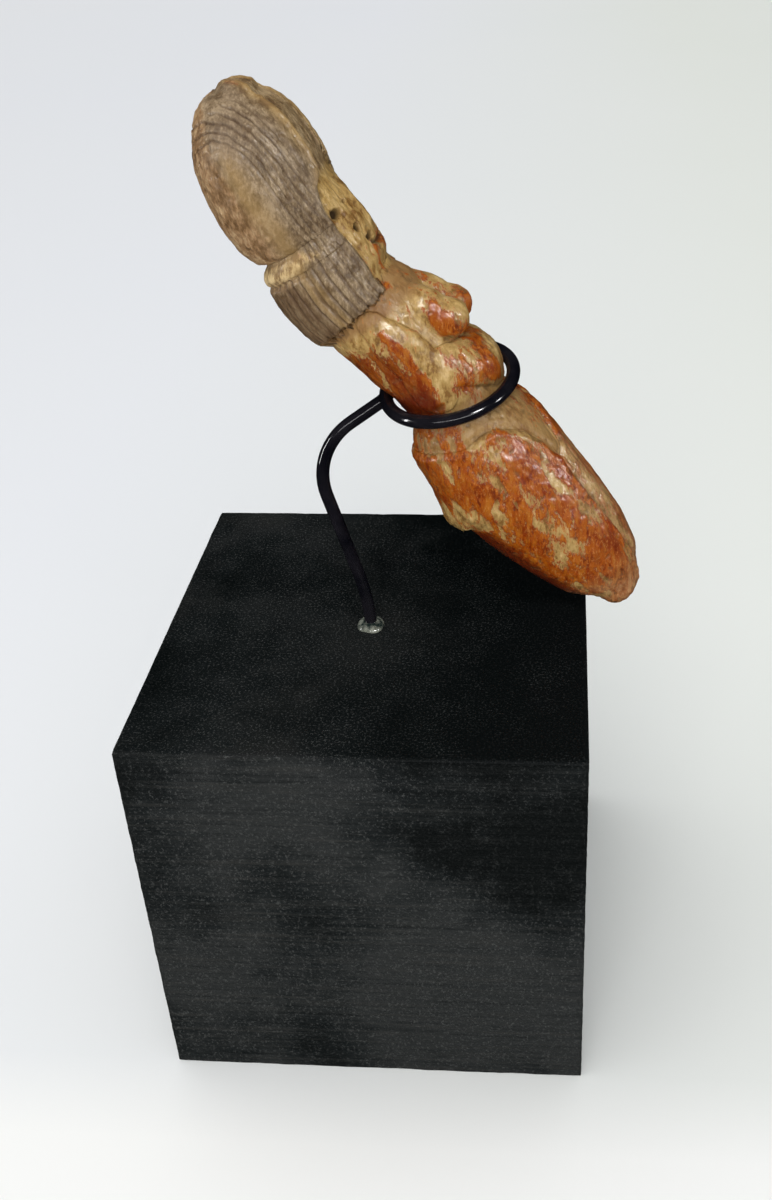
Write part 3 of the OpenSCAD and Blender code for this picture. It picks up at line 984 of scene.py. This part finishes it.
def block():
    """Cube with slightly worn edges and saw lines, drilled for the rod."""
    half = SIDE / 2
    across, up, inward, base_rings = 60, 300, 60, 6
    corners = [(-1, -1), (1, -1), (1, 1), (-1, 1)]
    outline = []
    for (ax, ay), (bx, by) in zip(corners, corners[1:] + corners[:1]):
        for k in range(across):
            t = k / across
            outline.append((half * (ax + (bx - ax) * t), half * (ay + (by - ay) * t)))
    outline = np.array(outline)
    count = len(outline)
    rings = []
    hole_angle = np.arctan2(outline[:, 1] - FOOT[1], outline[:, 0] - FOOT[0])
    hole = FOOT[:2] + HOLE_R * np.stack([np.cos(hole_angle), np.sin(hole_angle)], axis=1)
    for k in range(1, base_rings):
        rings.append(np.column_stack([outline * k / base_rings, np.zeros(count)]))
    for k in range(up + 1):
        rings.append(np.column_stack([outline, np.full(count, SIDE * k / up)]))
    for k in range(1, inward + 1):
        t = 1 - (1 - k / inward) ** 1.3
        rings.append(np.column_stack([outline * (1 - t) + hole * t, np.full(count, SIDE)]))
    for z in (SIDE - 0.4, SIDE - 4, HOLE_BOTTOM):
        rings.append(np.column_stack([hole, np.full(count, z)]))
    p = np.array(rings).reshape(-1, 3)
    # Round the edges by a small radius that varies along them
    centre = np.array([0, 0, half])
    q = p - centre
    wear = 0.22 + 0.10 * noise(p, 2.2, 3) + 0.08 * noise(p, 0.9, 4)
    core = half - wear[:, None]
    inner = np.clip(q, -core, core)
    out = q - inner
    length = np.linalg.norm(out, axis=1, keepdims=True)
    on_shell = (np.abs(q).max(axis=1) > half - 1e-6)
    rounded = inner + wear[:, None] * out / np.maximum(length, 1e-9)
    q = np.where(on_shell[:, None], rounded, q)
    # Saw lines run round the sides; the top is only a little uneven
    side_wall = (np.abs(q[:, :2]).max(axis=1) > half - 0.6) & (np.abs(q[:, 2]) < half - 0.4)
    lines = fractal(p * [0.05, 0.05, 1], 0.9, 3, 11)
    saw = 0.045 * lines + 0.03 * noise(p * [0.12, 0.12, 1], 0.45, 12)
    outward = np.where(np.abs(q[:, :1]) > np.abs(q[:, 1:2]), [1.0, 0, 0], [0, 1.0, 0]) * np.sign(q)
    q = q + np.where(side_wall[:, None], outward * saw[:, None], 0)
    top = on_shell & (q[:, 2] > half - 0.05)
    q[:, 2] += np.where(top, 0.02 * fractal(p, 1.6, 3, 13), 0)
    p = q + centre
    points = [tuple(v) for v in p]
    faces = []
    for i in range(len(rings) - 1):
        for k in range(count):
            n = (k + 1) % count
            faces.append((i * count + k, i * count + n, (i + 1) * count + n, (i + 1) * count + k))
    points.append((0.0, 0.0, 0.0))
    tip = len(points) - 1
    faces += [(tip, (k + 1) % count, k) for k in range(count)]
    faces.append(tuple((len(rings) - 1) * count + k for k in range(count)))
    return make_mesh("wooden_block", points, faces)


def glue():
    """Lumpy bead of glue round the foot of the rod."""
    rings, sides = 26, 64
    points, faces = [], []
    for i in range(rings + 1):
        t = i / rings
        r, z = BEAD_R * math.cos(t * math.pi / 2 * 0.78), BEAD_H * math.sin(t * math.pi / 2)
        for k in range(sides):
            a = 2 * math.pi * k / sides
            q = np.array([r * math.cos(a), r * math.sin(a), 0.0])
            lump = 1 + 0.10 * float(noise(q[None] + 7, 1.1, 15)[0])
            points.append((
                FOOT[0] + q[0] * lump, FOOT[1] + q[1] * lump, SIDE - 0.05 + z * (0.85 + 0.15 * lump)))
    # Sleeve of glue down the hole, just inside the rod's surface and the hole's wall
    inner, outer = ROD_R - 0.01, HOLE_R - 0.01
    for r, z in ((inner, SIDE + BEAD_H * 0.9), (inner, HOLE_BOTTOM),
                 (outer, HOLE_BOTTOM), (outer, SIDE - 0.06)):
        for k in range(sides):
            a = 2 * math.pi * k / sides
            points.append((FOOT[0] + r * math.cos(a), FOOT[1] + r * math.sin(a), z))
    total = len(points) // sides
    for i in range(total):
        for k in range(sides):
            n, j = (k + 1) % sides, (i + 1) % total
            faces.append((i * sides + k, i * sides + n, j * sides + n, j * sides + k))
    return make_mesh("glue_bead_clear", points, faces)


# -------------------- stage, lights, camera

def floor():
    """Pale paper, bluer on the left and greener on the right, with painted light making it brighter in
    front.
    """
    size = 3000
    corners = [(-size, -size, 0), (size, -size, 0), (size, size, 0), (-size, size, 0)]
    obj = make_mesh("floor", corners, [(0, 1, 2, 3)], smooth=False)
    m = Shader("floor_paper")
    apart = m.node("SeparateXYZ", {"Vector": m.place}).outputs
    tint = m.ramp(m.level(apart["X"], -0.15, 0.15), [
        (0.2, (0.80, 0.81, 0.84)), (0.8, (0.77, 0.79, 0.74))])
    # Painted light: brighter towards the front
    tint = m.mix(m.level(apart["Y"], -0.025, -0.036, 0, 1), tint, (0.91, 0.905, 0.885))
    colour = m.mix(m.level(m.noise(3, 3), 0.3, 0.7, 0, 0.3), tint, (0.83, 0.83, 0.82))
    m.surface.inputs["Specular IOR Level"].default_value = 0.0
    obj.data.materials.append(m.finish(Base_Color=colour, Roughness=m.level(m.noise(40), 0, 1, 0.7, 0.9)))
    obj.visible_glossy = False


def window(name, at, width, height, radiance, roll=0.0, lit=False):
    """A bright pane turned to the doll. If lit it only lights, or else it is only reflected."""
    data = bpy.data.lights.new(name, "AREA")
    data.shape, data.size, data.size_y = "RECTANGLE", width, height
    data.energy = radiance * math.pi * width * height
    obj = bpy.data.objects.new(name, data)
    bpy.context.collection.objects.link(obj)
    obj.location = at
    heading = (Vector((0.008, 0, 0.08)) - Vector(at)).to_track_quat("-Z", "Y").to_matrix()
    obj.rotation_euler = (heading @ Matrix.Rotation(math.radians(roll), 3, "Z")).to_euler()
    obj.visible_diffuse = lit
    obj.visible_glossy = not lit


def soft_light(name, energy, spread_degrees, heading, colour):
    """Broad light from far away, which shows in no reflection."""
    data = bpy.data.lights.new(name, "SUN")
    data.energy, data.angle, data.color = energy, math.radians(spread_degrees), colour
    obj = bpy.data.objects.new(name, data)
    bpy.context.collection.objects.link(obj)
    obj.rotation_euler = Vector(heading).to_track_quat("-Z", "Y").to_euler()
    obj.visible_glossy = False


def lights():
    world = bpy.data.worlds.new("studio")
    world.use_nodes = True
    background = world.node_tree.nodes["Background"]
    background.inputs["Color"].default_value = (0.92, 0.96, 1.0, 1)
    background.inputs["Strength"].default_value = 0.46
    bpy.context.scene.world = world
    world.cycles_visibility.glossy = False
    soft_light("overhead", 1.25, 75, (0.35, 0.12, -1.0), (1.0, 0.99, 0.97))
    soft_light("frontal", 0.65, 50, (-0.25, 0.9, -0.5), (1.0, 0.97, 0.92))
    window("front_fill", (0.0, -0.42, 0.40), 0.3, 0.3, 3.6, lit=True)
    window("right_window", (0.30, -0.42, 0.39), 0.15, 0.10, 75, roll=-25)
    window("far_right_window", (0.56, -0.15, 0.24), 0.10, 0.07, 60, roll=-25)
    window("front_window", (0.05, -0.66, 0.27), 0.90, 0.05, 16)
    window("left_window", (-0.60, -0.20, 0.12), 0.05, 0.30, 45)


CAMERA_AT = (22.12, -126.78, 140.68)
CAMERA_ANGLES = (4.7, 30.63, -1.84)    # azimuth, elevation and roll in degrees
LENS, SENSOR = 38.34, 36
LENS_SHIFT = (-0.0699, -0.0687)    # the photograph looks cropped off centre


def camera():
    azimuth, elevation, roll = map(math.radians, CAMERA_ANGLES)
    back = Vector((
        math.sin(azimuth) * math.cos(elevation),
        -math.cos(azimuth) * math.cos(elevation),
        math.sin(elevation)))
    level = Vector((math.cos(azimuth), math.sin(azimuth), 0))
    right = math.cos(roll) * level + math.sin(roll) * back.cross(level)
    up = back.cross(right)
    data = bpy.data.cameras.new("camera")
    data.sensor_width, data.lens = SENSOR, LENS
    data.shift_x, data.shift_y = LENS_SHIFT
    data.clip_start = 0.01
    obj = bpy.data.objects.new("camera", data)
    bpy.context.collection.objects.link(obj)
    place = Matrix((right, up, back)).transposed().to_4x4()
    place.translation = Vector(CAMERA_AT) * MM
    obj.matrix_world = place
    bpy.context.scene.camera = obj


# -------------------- assembly

def add(obj, material, node, body):
    """Give a piece its material, hang it under its body's empty and hide the CAD node that it replaces.
    """
    obj.data.materials.append(material)
    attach(obj, body)
    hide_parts(node)


bpy.context.scene.view_settings.view_transform = "Standard"
camera()
floor()
lights()
add(block(), block_material(), "base_block", "stand")
add(rod(), rod_material(), "support_rod", "stand")
add(glue(), glue_material(), "glue_bead", "stand")
fired_clay = clay()
for node_name, piece in doll_pieces():
    add(piece, fired_clay, node_name, "doll")
